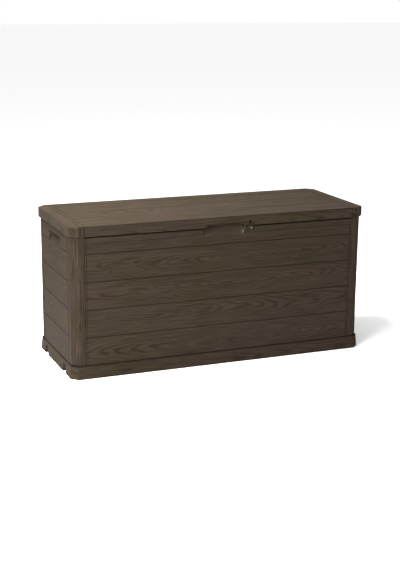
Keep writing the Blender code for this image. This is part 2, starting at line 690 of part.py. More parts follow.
def main():
    clear_scene()
    brown = (0.105, 0.072, 0.046)
    skirt_brown = plastic("base_brown", brown, 0.62)
    wall_brown = plastic("wall_brown", brown, 0.60)
    post_brown = plastic("post_brown", (0.112, 0.078, 0.052), 0.60)
    lid_brown = plastic("lid_brown", brown, 0.55)
    dark = plastic("hinge_brown", (0.060, 0.042, 0.030), 0.50)
    steel = plastic("zinc_steel", (0.55, 0.55, 0.56), 0.35, 1.0)
    black = plastic("wheel_black", (0.015, 0.015, 0.016), 0.70)

    build_base_tray(skirt_brown)
    build_front_panel(wall_brown)
    build_rear_panel(wall_brown)
    build_end_panel("left_end_panel", -1, wall_brown)
    build_end_panel("right_end_panel", 1, wall_brown)
    for side_x, across in ((-1, "left"), (1, "right")):
        for side_y, along in ((-1, "front"), (1, "rear")):
            build_corner_post(f"corner_post_{along}_{across}", side_x, side_y, post_brown)
    build_padlock_eye(dark)
    lid = build_lid_shell(lid_brown)
    for number, x in enumerate(HINGE_XS, 1):
        build_hinge(number, x, dark, steel)
    for side, place_name in ((-1, "front"), (1, "rear")):
        y = side * WHEEL_Y
        build_wheel(f"wheel_{place_name}", y, black)
        rod(f"wheel_axle_{place_name}", AXLE_RADIUS, 1, (WHEEL_X, WHEEL_Z),
            y - AXLE_REACH, y + AXLE_REACH, steel, count=20)
    hang_lid([lid] + [bpy.data.objects[f"hinge_lid_leaf_{n}"] for n in range(1, len(HINGE_XS) + 1)])


main()
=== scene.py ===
"""The looks of the deck storage box: embossed boards, soft arrises and moulded plastic.

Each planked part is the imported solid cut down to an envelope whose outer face
carries the wood relief, so inside details, scoops and slots stay as they are.
Metres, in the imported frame: +Z up, the front at -Y, the wheels at -X.
"""
import math

import bmesh
import bpy
import numpy as np
from mathutils import Matrix, Vector


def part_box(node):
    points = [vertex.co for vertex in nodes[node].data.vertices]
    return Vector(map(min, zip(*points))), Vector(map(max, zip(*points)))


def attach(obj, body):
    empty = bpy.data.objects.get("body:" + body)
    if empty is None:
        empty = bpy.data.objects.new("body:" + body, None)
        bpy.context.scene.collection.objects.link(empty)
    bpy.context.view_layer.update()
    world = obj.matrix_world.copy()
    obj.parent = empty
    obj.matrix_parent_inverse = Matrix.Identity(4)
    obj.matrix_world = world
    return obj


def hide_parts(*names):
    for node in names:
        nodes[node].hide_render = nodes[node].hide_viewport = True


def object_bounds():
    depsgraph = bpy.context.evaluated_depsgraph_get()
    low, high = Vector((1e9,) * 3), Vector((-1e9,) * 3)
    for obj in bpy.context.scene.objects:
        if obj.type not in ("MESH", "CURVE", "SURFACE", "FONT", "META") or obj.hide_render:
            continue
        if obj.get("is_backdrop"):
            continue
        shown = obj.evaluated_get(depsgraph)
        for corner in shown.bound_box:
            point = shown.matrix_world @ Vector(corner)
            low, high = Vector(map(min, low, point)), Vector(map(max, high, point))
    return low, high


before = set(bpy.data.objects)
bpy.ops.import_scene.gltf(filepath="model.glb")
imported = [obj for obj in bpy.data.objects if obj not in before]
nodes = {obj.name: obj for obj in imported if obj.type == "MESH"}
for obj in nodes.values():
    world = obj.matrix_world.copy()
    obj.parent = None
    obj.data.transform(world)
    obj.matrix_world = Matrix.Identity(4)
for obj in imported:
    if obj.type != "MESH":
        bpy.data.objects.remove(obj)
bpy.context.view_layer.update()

# ---------------------------------------------------------------- places, from the frame
lid_low, lid_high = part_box("lid_shell")
base_low, base_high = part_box("base_tray")
post_low, post_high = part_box("corner_post_front_right")
HALF_X = lid_high.x
HALF_Y = -lid_low.y
TOP = lid_high.z
RIM_BOTTOM = lid_low.z
SKIRT_TOP = base_high.z
WALL_X = post_high.x
WALL_Y = -post_low.y
SEAM_X = post_low.x
SEAM_Y = -post_high.y
WALL_TOP = post_high.z
POST_WIDTH = WALL_X - SEAM_X
lock_low, lock_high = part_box("padlock_eye")
lock_x = (lock_low.x + lock_high.x) / 2

# ---------------------------------------------------------------- sizes
PLANK_PITCH = 0.102
POST_CHAMFER = 0.024
LID_CHAMFER = 0.028
SKIRT_CHAMFER = 0.025
BAND_GROOVES = (0.531, 0.546)
BAND_START = 0.540              # the lid's mesh is fine beside the outer grooves and in the bands
BAND_KEPT = 0.538
BAND_FINE = (0.5385, 0.5504)
TOP_GROOVES = (-0.092, 0.034, 0.160)
SCOOP_BOTTOM_Z = 0.491
SCOOP_HEIGHT = 0.044
SCOOP_BOTTOM = 0.152
SCOOP_TOP = 0.177
FAINT_LINE_Z = 0.495
# The step under the rim is deep enough to take the full painted crevice shade: a dark painted line
# under the rim.
UNDER_RIM_Z = RIM_BOTTOM - 0.0060
UNDER_RIM_DEEP = 0.0027
UNDER_RIM_RISE = 0.0012         # over this height the step under the rim comes to its full depth
EDGE_STRIP = 0.0078             # the narrow strip beside each post seam
STRIP_HALF = 0.0021
STRIP_DEEP = 0.0007
FAINT_HALF = 0.0022
FAINT_DEEP = 0.0006
ROUND_REACH = 0.0022            # the rounding of a panel's or post's edge at a seam
ROUND_DEEP = 0.0016
POST_RADIUS = 0.0075            # soft arrises, seen from above
LID_RADIUS = 0.0060
SKIRT_RADIUS = 0.0070
SKIRT_LEVELS = (0.0, 0.0007, 0.0024, 0.0440, 0.0482, SKIRT_TOP)
SKIRT_INSETS = (0.0022, 0.0008, 0.0, 0.0036, 0.0049, 0.0063)
PANEL_THICKNESS = 0.080         # of an envelope, more than any wall with its ribs

# ---------------------------------------------------------------- relief sizes
LEAST = 0.00004                 # every envelope stays this far inside the CAD face
GROOVE_HALF = 0.0027
GROOVE_DEEP = 0.0015
LID_GROOVE_DEEP = 0.0015
RING_PITCH = 0.0054
RING_DEEP = 0.00042
FIBRE_DEEP = 0.00013
ACROSS = 0.0016                 # mesh steps across the grain, along it, and in a groove
ALONG = 0.0048
FINE = 0.0008
NOISE_CELLS = 256
SPAN = 0.006                    # how far an envelope runs past the part
SHARP_ANGLE = 40.0

# Knots, as (place along the boards, place across them, size)
FRONT_KNOTS = ((-0.206, 0.294, 0.012), (0.280, 0.305, 0.013), (0.295, 0.088, 0.010),
               (-0.405, 0.401, 0.014), (0.287, 0.401, 0.014), (-0.180, 0.100, 0.010))
REAR_KNOTS = ((0.310, 0.195, 0.012), (-0.120, 0.410, 0.013),
              (-0.330, 0.098, 0.011), (0.080, 0.300, 0.012))
LEFT_KNOTS = ((0.070, 0.200, 0.012), (-0.080, 0.405, 0.010))
RIGHT_KNOTS = ((-0.060, 0.300, 0.012), (0.090, 0.100, 0.010))
LID_KNOTS = ((-0.255, -0.042, 0.012), (-0.220, 0.100, 0.013), (0.270, -0.150, 0.010))

# ---------------------------------------------------------------- paint: wear, painted highlights and painted shade
LOCK_REACH = 0.0115             # half the width of the lock's recess
LOCK_DEEP = 0.004
CREVICE_SHADE_DEPTH = 0.0027             # a depth that is painted with the crevice shade
INSIDE_AT = 0.0030              # surfaces deeper than this aren't part of the relief
INSIDE_TONE = 0.2
GRAIN_SHADE_RAMP = (0.0, 0.0006, 0.40)        # where each painted shade starts, where it is full, and its share
GROOVE_SHADE_RAMP = (0.0008, 0.0018, 0.12)
CREVICE_SHADE_RAMP = (0.0024, 0.0026, 0.48)
WEAR_AND_HIGHLIGHT_REACH = 0.0028             # how wide the lightened arrises are: rubbed wear and a painted highlight
WEAR_AND_HIGHLIGHT_PATCH = 0.03
# The scoop's right side and lower edge are painted lighter: a painted highlight.
SCOOP_SIDE_HIGHLIGHT = 0.0014
SCOOP_EDGE_HIGHLIGHT = 0.0012
# How strongly the arrises are lightened, as rubbed wear and a painted highlight.
POST_WEAR_AND_HIGHLIGHT = 0.45
LID_WEAR_AND_HIGHLIGHT = 0.9
SKIRT_WEAR_AND_HIGHLIGHT = 0.5
PLAIN_TONE_AT = 0.12                   # the tone attribute runs from 0, rubbed with a painted highlight, through this, plain, to 1, a painted crevice shade
# WORN_AND_HIGHLIGHT is lighter: rubbed wear and a painted highlight. RIDGE is the plastic's own tone;
# VALLEY_SHADE and CREVICE_SHADE are painted shade.
WORN_AND_HIGHLIGHT = (0.0800, 0.0650, 0.0510)
RIDGE = (0.0245, 0.0184, 0.0126)
VALLEY_SHADE = (0.0126, 0.0095, 0.0066)
VALLEY_SHADE_AT = 0.4                 # the painted valley shade's place between plain and the painted crevice shade
CREVICE_SHADE = (0.0040, 0.0030, 0.0021)
LIGHT_PATCH = (0.97, 1.0, 0.93)
WARM_PATCH = (1.0, 0.955, 1.03)
MATT_SHINE = 0.004


# ---------------------------------------------------------------- relief
def noise(u, v, seed):
    """Smooth random values from 0 to 1, with one cell per unit of u and v."""
    cells = np.random.default_rng(seed).random((NOISE_CELLS, NOISE_CELLS))
    low_u = np.floor(u).astype(int)
    low_v = np.floor(v).astype(int)
    part_u = u - low_u
    part_v = v - low_v
    part_u = part_u * part_u * (3 - 2 * part_u)
    part_v = part_v * part_v * (3 - 2 * part_v)
    left, right = low_u % NOISE_CELLS, (low_u + 1) % NOISE_CELLS
    bottom, top = low_v % NOISE_CELLS, (low_v + 1) % NOISE_CELLS
    near = cells[left, bottom] * (1 - part_u) + cells[right, bottom] * part_u
    far = cells[left, top] * (1 - part_u) + cells[right, top] * part_u
    return near * (1 - part_v) + far * part_v


def wood(along, across, seed, tilt=0.07, knots=(), pitch=RING_PITCH, deep=RING_DEEP):
    """Depth of the embossed grain of one board, with the board's middle at zero.

    The rings are those of a log that the board's face cuts at a slight tilt,
    which is what draws the long arches.  Each knot pushes the rings round itself.
    """
    random = np.random.default_rng(seed)
    heart = random.uniform(-0.022, 0.022)
    start = random.uniform(-0.4, 0.4)
    sway = 0.016 * (noise(along / 0.24, across / 0.09, seed + 1) - 0.5)
    sway += 0.006 * (noise(along / 0.075, across / 0.03, seed + 2) - 0.5)
    level = tilt * (along - start)
    level = level + 0.012 * (noise(along / 0.31, np.zeros_like(across), seed + 3) - 0.5)
    ring = np.hypot(across - heart + sway, level) / pitch
    ring += 0.8 * noise(along / 0.05, across / 0.012, seed + 4)
    for knot_along, knot_across, size in knots:
        reach = np.hypot((along - knot_along) / (2.4 * size), (across - knot_across) / size)
        ring += 3.4 * np.exp(-reach ** 2)
    phase = ring - np.floor(ring)
    line = np.exp(-((phase - 0.5) / 0.17) ** 2)
    strength = 0.35 + 0.9 * noise(along / 0.11, across / 0.016, seed + 5)
    fibre = noise(along / 0.034, across / 0.0024, seed + 6)
    broad = noise(along / 0.09, across / 0.009, seed + 7)
    return LEAST + deep * line * strength + FIBRE_DEEP * (fibre + 1.2 * broad)


def groove(place, centre, half=GROOVE_HALF, deep=GROOVE_DEEP):
    """A round-bottomed groove's depth."""
    reach = np.minimum(np.abs(place - centre) / half, 1.0)
    return deep * 0.5 * (1 + np.cos(math.pi * reach))


def boards(along, across, edges, seed, knots=(), tilt=0.07):
    """The grain of boards laid side by side, each between two of the edges."""
    depth = np.zeros(np.broadcast(along, across).shape)
    along, across = np.broadcast_arrays(along, across)
    for number, (low, high) in enumerate(zip(edges, edges[1:])):
        inside = (across >= low) & (across < high)
        middle = (low + high) / 2
        own = [(a, b - middle, size) for a, b, size in knots if low <= b < high]
        depth[inside] = wood(along[inside], across[inside] - middle, seed + 20 * number, tilt, own)
    return depth


def spaced(start, stop, step, fine_at=(), reach=0.0045):
    """Values from start to stop, closer together beside the places in fine_at."""
    values = np.linspace(start, stop, max(2, round((stop - start) / step) + 1))
    centres = [c for c in fine_at if start < c < stop]
    for centre in centres:
        ends = (values == start) | (values == stop)
        values = values[(np.abs(values - centre) > reach) | ends]
        close = np.arange(centre - reach + FINE, centre + reach - FINE / 2, FINE)
        values = np.concatenate([values, close])
    values = np.unique(np.round(values, 6))
    return values[(values >= start) & (values <= stop)]


# ---------------------------------------------------------------- envelopes
def solid(name, points, faces):
    data = bpy.data.meshes.new(name)
    data.from_pydata(points.tolist(), [], faces)
    thing = bpy.data.objects.new(name, data)
    bpy.context.scene.collection.objects.link(thing)
    return thing


def grid_faces(columns, rows, wrap=False):
    """Quads over points numbered column by column; wrap joins the last column to the first."""
    count = columns if wrap else columns - 1
    i, j = np.meshgrid(np.arange(count), np.arange(rows - 1), indexing="ij")
    near, far = i * rows + j, ((i + 1) % columns) * rows + j
    return np.stack([near, far, far + 1, near + 1], axis=-1).reshape(-1, 4).tolist()


def slab(name, origin, across, up, u, v, depth, thickness):
    """A closed slab whose outer face is pressed in by depth[u, v]; out is across x up."""
    origin, across, up = (np.array(t, float) for t in (origin, across, up))
    out = np.cross(across, up)
    columns, rows = len(u), len(v)
    points = origin + u[:, None, None] * across + v[None, :, None] * up - depth[:, :, None] * out
    points = points.reshape(-1, 3)
    corners = [origin + a * across + b * up - thickness * out
               for a, b in ((u[0], v[0]), (u[-1], v[0]), (u[-1], v[-1]), (u[0], v[-1]))]
    first = len(points)
    a, b, c, d = range(first, first + 4)
    bottom = [i * rows for i in range(columns)]
    top = [i * rows + rows - 1 for i in range(columns)]
    left = list(range(rows))
    right = list(range((columns - 1) * rows, columns * rows))
    faces = grid_faces(columns, rows)
    faces += [bottom[::-1] + [a, b], right[::-1] + [b, c], top + [c, d], left + [d, a], [a, d, c, b]]
    return solid(name, np.vstack([points, corners]), faces)


def sleeve(name, path, normals, z, depth, inner=()):
    """A closed sleeve: the path pressed in by depth[path, z], closed by the inner points."""
    path, normals = np.asarray(path), np.asarray(normals)
    flat = path[:, None, :] - depth[:, :, None] * normals[:, None, :]
    if len(inner):
        extra = np.repeat(np.asarray(inner, float)[:, None, :], len(z), axis=1)
        flat = np.concatenate([flat, extra])
    columns, rows = flat.shape[0], len(z)
    heights = np.broadcast_to(z[None, :, None], (columns, rows, 1))
    points = np.concatenate([flat, heights], axis=2).reshape(-1, 3)
    bottom = [i * rows for i in range(columns)]
    top = [i * rows + rows - 1 for i in range(columns)]
    return solid(name, points, grid_faces(columns, rows, wrap=True) + [bottom[::-1], top])


def rounded_path(corners, radius, step, closed, fine_at=()):
    """Points and outward normals along a polyline whose corners are rounded.

    The corners go anticlockwise.  fine_at lists X places that the points crowd round.
    """
    corners = [np.array(c, float) for c in corners]
    count = len(corners)
    points, normals = [], []
    trims = []
    for i in range(count):
        if not closed and i in (0, count - 1):
            trims.append(None)
            continue
        before = corners[i] - corners[i - 1]
        after = corners[(i + 1) % count] - corners[i]
        before /= np.linalg.norm(before)
        after /= np.linalg.norm(after)
        turn = math.atan2(before[0] * after[1] - before[1] * after[0], before @ after)
        trims.append((before, after, turn, radius * math.tan(turn / 2)))
    for i in range(count if closed else count - 1):
        start, stop = corners[i], corners[(i + 1) % count]
        direction = (stop - start) / np.linalg.norm(stop - start)
        if trims[i]:
            start = start + direction * trims[i][3]
        if trims[(i + 1) % count]:
            stop = stop - direction * trims[(i + 1) % count][3]
        length = np.linalg.norm(stop - start)
        places = [] if abs(direction[0]) < 0.9 else [(x - start[0]) * direction[0] for x in fine_at]
        for run in spaced(0.0, length, step, places):
            points.append(start + direction * run)
            normals.append(np.array([direction[1], -direction[0]]))
        following = trims[(i + 1) % count]
        if following:
            normal = np.array([direction[1], -direction[0]])
            centre = stop - normal * radius
            for part in (0.25, 0.5, 0.75):
                angle = following[2] * part
                turned = np.array([normal[0] * math.cos(angle) - normal[1] * math.sin(angle),
                                   normal[0] * math.sin(angle) + normal[1] * math.cos(angle)])
                points.append(centre + turned * radius)
                normals.append(turned)
    return np.array(points), np.array(normals)


def chamfered(half_x, half_y, chamfer):
    """A rectangle's outline with its corners cut off, anticlockwise from the front left."""
    return [
        (-half_x + chamfer, -half_y), (half_x - chamfer, -half_y),
        (half_x, -half_y + chamfer), (half_x, half_y - chamfer),
        (half_x - chamfer, half_y), (-half_x + chamfer, half_y),
        (-half_x, half_y - chamfer), (-half_x, -half_y + chamfer),
    ]


def run_of(points):
    """The distance along a path up to each of its points."""
    steps = np.linalg.norm(np.diff(points, axis=0), axis=1)
    return np.concatenate([[0.0], np.cumsum(steps)])


def painted_shade_by_depth(far):
    """The painted shade of a point for its depth behind the outer face, from 0 to 1: grain valleys,
    grooves and crevices are painted darker.
    """
    tone = np.zeros_like(far)
    for start, full, share in (GRAIN_SHADE_RAMP, GROOVE_SHADE_RAMP, CREVICE_SHADE_RAMP):
        tone += share * np.clip((far - start) / (full - start), 0.0, 1.0)
    return np.where(far > INSIDE_AT, INSIDE_TONE, tone)


def press(name, node, envelopes, material, distance, wear_and_highlight, body):
    """The CAD node cut down to its envelopes, as a new piece that stands for it.

    distance gives how far in from the outer face a point is, which sets its painted shade, and wear how
    much it is lightened as rubbed wear and painted highlight.
    """
    data = nodes[node].data.copy()
    mesh = bmesh.new()
    mesh.from_mesh(data)
    bmesh.ops.remove_doubles(mesh, verts=mesh.verts, dist=1e-6)
    mesh.to_mesh(data)
    mesh.free()
    data.materials.clear()
    piece = bpy.data.objects.new(name, data)
    bpy.context.scene.collection.objects.link(piece)
    for envelope in envelopes:
        modifier = piece.modifiers.new(envelope.name, "BOOLEAN")
        modifier.operation = "INTERSECT"
        modifier.object = envelope
        modifier.solver = "MANIFOLD"
    shaped = bpy.data.meshes.new_from_object(piece.evaluated_get(bpy.context.evaluated_depsgraph_get()))
    if not len(shaped.polygons):
        raise RuntimeError(f"nothing is left of {name}")
    piece.modifiers.clear()
    piece.data = shaped
    shaped.name = name
    bpy.data.meshes.remove(data)
    for envelope in envelopes:
        bpy.data.meshes.remove(envelope.data)
    shaped.materials.clear()
    shaped.materials.append(material)
    shaped.shade_smooth()
    shaped.set_sharp_from_angle(angle=math.radians(SHARP_ANGLE))
    places = np.zeros(len(shaped.vertices) * 3, np.float32)
    shaped.vertices.foreach_get("co", places)
    x, y, z = places.reshape(-1, 3).T
    # Painted shade by depth, lightened where worn and where a highlight is painted.
    new = PLAIN_TONE_AT + (1 - PLAIN_TONE_AT) * painted_shade_by_depth(distance(x, y, z))
    shade_wear_highlight = new * (1 - wear_and_highlight(x, y, z))
    attribute = shaped.attributes.new("shade_wear_highlight", "FLOAT", "POINT")
    attribute.data.foreach_set("value", shade_wear_highlight.astype(np.float32))
    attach(piece, body)
    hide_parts(node)
    return piece


# ---------------------------------------------------------------- materials
def nodes_of(name):
    material = bpy.data.materials.new(name)
    material.use_nodes = True
    tree = material.node_tree
    return material, tree, tree.nodes["Principled BSDF"]


def moulded(name, roughness, stretch, fleck):
    """Moulded plastic with an embossed grain: painted shade in its hollows, a lighter rubbed tone with
    painted highlights, streaks and a fine matt texture.

    stretch is how much finer the streaks are along each axis, and fleck how strong they are.
    """
    material, tree, shader = nodes_of(name)
    make, link = tree.nodes.new, tree.links.new
    where = make("ShaderNodeTexCoord")
    attribute = make("ShaderNodeAttribute")
    attribute.attribute_name = "shade_wear_highlight"
    streaks_at = make("ShaderNodeMapping")
    streaks_at.inputs["Scale"].default_value = stretch
    link(where.outputs["Object"], streaks_at.inputs["Vector"])
    streaks = make("ShaderNodeTexNoise")
    streaks.inputs["Scale"].default_value = 1.0
    streaks.inputs["Detail"].default_value = 5.0
    streaks.inputs["Roughness"].default_value = 0.62
    link(streaks_at.outputs["Vector"], streaks.inputs["Vector"])
    clouds = make("ShaderNodeTexNoise")
    clouds.inputs["Scale"].default_value = 3.5
    clouds.inputs["Detail"].default_value = 3.0
    link(where.outputs["Object"], clouds.inputs["Vector"])

    # The ramp: the rubbed tone with painted highlight at 0, the plain ridge tone, then painted valley
    # shade and painted crevice shade at 1.
    base = make("ShaderNodeValToRGB")
    base.color_ramp.elements[0].color = (*WORN_AND_HIGHLIGHT, 1)
    base.color_ramp.elements[1].color = (*CREVICE_SHADE, 1)
    base.color_ramp.elements.new(PLAIN_TONE_AT).color = (*RIDGE, 1)
    base.color_ramp.elements.new(PLAIN_TONE_AT + VALLEY_SHADE_AT * (1 - PLAIN_TONE_AT)).color = (*VALLEY_SHADE, 1)
    link(attribute.outputs["Fac"], base.inputs["Fac"])
    tone = make("ShaderNodeMapRange")
    tone.inputs["From Min"].default_value = 0.25
    tone.inputs["From Max"].default_value = 0.75
    tone.inputs["To Min"].default_value = 1.0 - fleck
    tone.inputs["To Max"].default_value = 1.0 + fleck
    link(streaks.outputs["Fac"], tone.inputs["Value"])
    broad = make("ShaderNodeMapRange")
    broad.inputs["From Min"].default_value = 0.3
    broad.inputs["From Max"].default_value = 0.7
    broad.inputs["To Min"].default_value = 0.95
    broad.inputs["To Max"].default_value = 1.05
    link(clouds.outputs["Fac"], broad.inputs["Value"])
    both = make("ShaderNodeMath")
    both.operation = "MULTIPLY"
    link(tone.outputs["Result"], both.inputs[0])
    link(broad.outputs["Result"], both.inputs[1])
    toned = make("ShaderNodeVectorMath")
    toned.operation = "SCALE"
    link(base.outputs["Color"], toned.inputs[0])
    link(both.outputs["Value"], toned.inputs["Scale"])
    tint = make("ShaderNodeValToRGB")
    tint.color_ramp.elements[0].position = 0.35
    tint.color_ramp.elements[1].position = 0.65
    tint.color_ramp.elements[0].color = (*LIGHT_PATCH, 1)
    tint.color_ramp.elements[1].color = (*WARM_PATCH, 1)
    link(clouds.outputs["Fac"], tint.inputs["Fac"])
    tinted = make("ShaderNodeVectorMath")
    tinted.operation = "MULTIPLY"
    link(toned.outputs["Vector"], tinted.inputs[0])
    link(tint.outputs["Color"], tinted.inputs[1])
    link(tinted.outputs["Vector"], shader.inputs["Base Color"])

    gloss = make("ShaderNodeMapRange")
    gloss.inputs["To Min"].default_value = roughness - 0.07
    gloss.inputs["To Max"].default_value = roughness + 0.09
    link(streaks.outputs["Fac"], gloss.inputs["Value"])
    link(gloss.outputs["Result"], shader.inputs["Roughness"])
    shader.inputs["Specular IOR Level"].default_value = MATT_SHINE

    grit = make("ShaderNodeTexNoise")
    grit.inputs["Scale"].default_value = 900.0
    grit.inputs["Detail"].default_value = 2.0
    link(where.outputs["Object"], grit.inputs["Vector"])
    fine = make("ShaderNodeBump")
    fine.inputs["Strength"].default_value = 0.25
    fine.inputs["Distance"].default_value = 0.00012
    link(grit.outputs["Fac"], fine.inputs["Height"])
    combed = make("ShaderNodeBump")
    combed.inputs["Strength"].default_value = 0.55
    combed.inputs["Distance"].default_value = 0.0004
    link(streaks.outputs["Fac"], combed.inputs["Height"])
    link(fine.outputs["Normal"], combed.inputs["Normal"])
    link(combed.outputs["Normal"], shader.inputs["Normal"])
    return material


def plain_moulded(name, colour, roughness, scale=350.0, metallic=0.0, vary=0.12, shine=0.5):
    """A smaller moulded or metal part: a mottled tone, a fine texture and uneven gloss."""
    material, tree, shader = nodes_of(name)
    make, link = tree.nodes.new, tree.links.new
    where = make("ShaderNodeTexCoord")
    mottle = make("ShaderNodeTexNoise")
    mottle.inputs["Scale"].default_value = scale
    mottle.inputs["Detail"].default_value = 4.0
    link(where.outputs["Object"], mottle.inputs["Vector"])
    shades = make("ShaderNodeValToRGB")
    shades.color_ramp.elements[0].position = 0.3
    shades.color_ramp.elements[1].position = 0.7
    shades.color_ramp.elements[0].color = (*(c * (1 - vary) for c in colour), 1)
    shades.color_ramp.elements[1].color = (*(c * (1 + vary) for c in colour), 1)
    link(mottle.outputs["Fac"], shades.inputs["Fac"])
    link(shades.outputs["Color"], shader.inputs["Base Color"])
    shader.inputs["Metallic"].default_value = metallic
    shader.inputs["Specular IOR Level"].default_value = shine
    gloss = make("ShaderNodeMapRange")
    gloss.inputs["To Min"].default_value = roughness - 0.08
    gloss.inputs["To Max"].default_value = roughness + 0.10
    link(mottle.outputs["Fac"], gloss.inputs["Value"])
    link(gloss.outputs["Result"], shader.inputs["Roughness"])
    bump = make("ShaderNodeBump")
    bump.inputs["Strength"].default_value = 0.3
    bump.inputs["Distance"].default_value = 0.0002
    link(mottle.outputs["Fac"], bump.inputs["Height"])
    link(bump.outputs["Normal"], shader.inputs["Normal"])
    return material


# ---------------------------------------------------------------- planked panels
def soft_end(place, half):
    """The depth of the rounding where a face ends at plus or minus half."""
    return ROUND_DEEP * np.clip(1 - (half - np.abs(place)) / ROUND_REACH, 0, 1) ** 2


def seam_edge(along, half):
    """The rounded end of a panel beside its post, and the line that sets off a narrow strip."""
    return soft_end(along, half) + groove(np.abs(along), half - EDGE_STRIP, STRIP_HALF, STRIP_DEEP)


def panel_relief(along, up, half, seed, knots, faint):
    """Depth over a panel's face: boards, the grooves between them and the soft ends."""
    edges = [0.0] + [SKIRT_TOP + PLANK_PITCH * i for i in range(1, 5)] + [1.0]
    depth = boards(along, up, edges, seed, knots)
    for z in edges[1:-1]:
        depth = depth + groove(up, z)
    if faint:
        depth = depth + groove(up, FAINT_LINE_Z, FAINT_HALF, FAINT_DEEP)
    depth = np.maximum(depth, UNDER_RIM_DEEP * np.clip((up - UNDER_RIM_Z) / UNDER_RIM_RISE, 0, 1))
    return depth + seam_edge(along, half)


def no_wear_or_highlight(x, y, z):
    return np.zeros(len(x))


def arris_wear_and_highlight(half_x, half_y, chamfer, strength):
    """Lightening along the upright edges of a chamfered box, stronger in some places than others:
    rubbed wear and a painted highlight.
    """
    def wear_and_highlight(x, y, z):
        one = np.hypot(half_x - np.abs(x), half_y - chamfer - np.abs(y))
        other = np.hypot(half_x - chamfer - np.abs(x), half_y - np.abs(y))
        patchy = 0.4 + 0.6 * noise(z / WEAR_AND_HIGHLIGHT_PATCH, 3 * x + y, 910)
        return strength * patchy * np.exp(-(np.minimum(one, other) / WEAR_AND_HIGHLIGHT_REACH) ** 2)
    return wear_and_highlight


def front_distance(x, y, z):
    """The distance in from the front wall, with the lock's recess given a crevice's depth, so that it
    is painted with the crevice shade.
    """
    far = y + WALL_Y
    recess = (np.abs(x - lock_x) < LOCK_REACH) & (z > lock_high.z) & (far > LOCK_DEEP)
    return np.where(recess, CREVICE_SHADE_DEPTH, far)


def scoop_painted_highlight(x, y, z):
    """A painted highlight on the right side and lower edge of the finger scoop."""
    side = SCOOP_BOTTOM / 2 + (z - SCOOP_BOTTOM_Z) * (SCOOP_TOP - SCOOP_BOTTOM) / 2 / SCOOP_HEIGHT
    beside = (np.abs(x - side) < SCOOP_SIDE_HIGHLIGHT) & (z > SCOOP_BOTTOM_Z - 0.001)
    below = (np.abs(z - SCOOP_BOTTOM_Z) < SCOOP_EDGE_HIGHLIGHT) & (np.abs(x) < SCOOP_BOTTOM / 2)
    return np.where(beside, 1.0, np.where(below, 0.45, 0.0))


def dress_panel(name, node, origin, across, half, seed, knots, material, distance, faint=False, calm=(),
                wear_and_highlight=no_wear_or_highlight):
    """Give one wall its boards.

    half is half the width between the posts.  calm holds (low, high, bottom, top)
    areas that stay flat for the parts that lie on them.
    """
    fine_u = [side * (half - EDGE_STRIP) for side in (-1, 1)]
    fine_u += [side * (half - 0.0015) for side in (-1, 1)]
    u = spaced(-half - POST_WIDTH / 2, half + POST_WIDTH / 2, ALONG, fine_u)
    fine_v = [SKIRT_TOP + PLANK_PITCH * i for i in range(1, 5)]
    v = spaced(SKIRT_TOP - SPAN, WALL_TOP + SPAN, ACROSS, fine_v + [FAINT_LINE_Z] * faint)
    depth = panel_relief(u[:, None], v[None, :], half, seed, knots, faint)
    for low, high, bottom, top in calm:
        inside = ((u >= low) & (u <= high))[:, None] & ((v >= bottom) & (v <= top))[None, :]
        depth[inside] = np.minimum(depth[inside], LEAST)
    envelope = slab(f"envelope_{name}", origin, across, (0, 0, 1), u, v, depth, PANEL_THICKNESS)
    return press(name, node, [envelope], material, distance, wear_and_highlight, "box")


def dress_post(name, node, corner, incoming, outgoing, seed, material):
    """Give one corner post its upright grain and soft arrises."""
    corner, incoming, outgoing = (np.array(t, float) for t in (corner, incoming, outgoing))
    reach = POST_WIDTH + SPAN
    corners = [corner - incoming * reach, corner - incoming * POST_CHAMFER,
               corner + outgoing * POST_CHAMFER, corner + outgoing * reach]
    path, normals = rounded_path(corners, POST_RADIUS, ACROSS, closed=False)
    run = run_of(path)
    run -= run[-1] / 2
    z = spaced(SKIRT_TOP - SPAN, WALL_TOP + SPAN, ALONG)
    across, along = run[:, None], z[None, :] - 0.3
    depth = wood(along, across, seed, tilt=0.035, pitch=0.0062, deep=0.00042)
    half = run[-1] - SPAN
    depth = depth + soft_end(across, half)
    inner = [corner + outgoing * reach - incoming * 0.039,
             corner - incoming * reach + outgoing * 0.040]
    envelope = sleeve(f"envelope_{name}", path, normals, z, depth, inner)
    side = np.sign(corner)

    def distance(x, y, z):
        return np.minimum.reduce([
            WALL_X - side[0] * x, WALL_Y - side[1] * y,
            (WALL_X + WALL_Y - POST_CHAMFER - side[0] * x - side[1] * y) / math.sqrt(2)])

    # The arrises are lightened: rubbed wear and a painted highlight.
    wear_and_highlight = arris_wear_and_highlight(WALL_X, WALL_Y, POST_CHAMFER, POST_WEAR_AND_HIGHLIGHT)
    return press(name, node, [envelope], material, distance, wear_and_highlight, "box")


# ---------------------------------------------------------------- lid and skirt
def hull_distance(half_x, half_y, chamfer):
    """The distance inward from a chamfered box's sides."""
    def distance(x, y, z):
        return np.minimum.reduce([
            half_x - np.abs(x), half_y - np.abs(y),
            (half_x + half_y - chamfer - np.abs(x) - np.abs(y)) / math.sqrt(2)])
    return distance


def lid_top_relief(x, y):
    """Four long boards between the end bands, whose grain runs from front to back."""
    long_boards = boards(x, y, (-1.0, *TOP_GROOVES, 1.0), 400, LID_KNOTS)
    for place in TOP_GROOVES:
        long_boards = long_boards + groove(y, place, GROOVE_HALF, LID_GROOVE_DEEP)
    inner = BAND_GROOVES[0]
    bands = boards(np.broadcast_to(y, long_boards.shape), np.broadcast_to(x, long_boards.shape),
                   (-1.0, -inner, inner, 1.0), 500, tilt=0.04)
    depth = np.where(np.abs(x) < inner, long_boards, bands)
    for place in (*BAND_GROOVES, *(-b for b in BAND_GROOVES)):
        depth = depth + groove(x, place, GROOVE_HALF, LID_GROOVE_DEEP)
    return depth


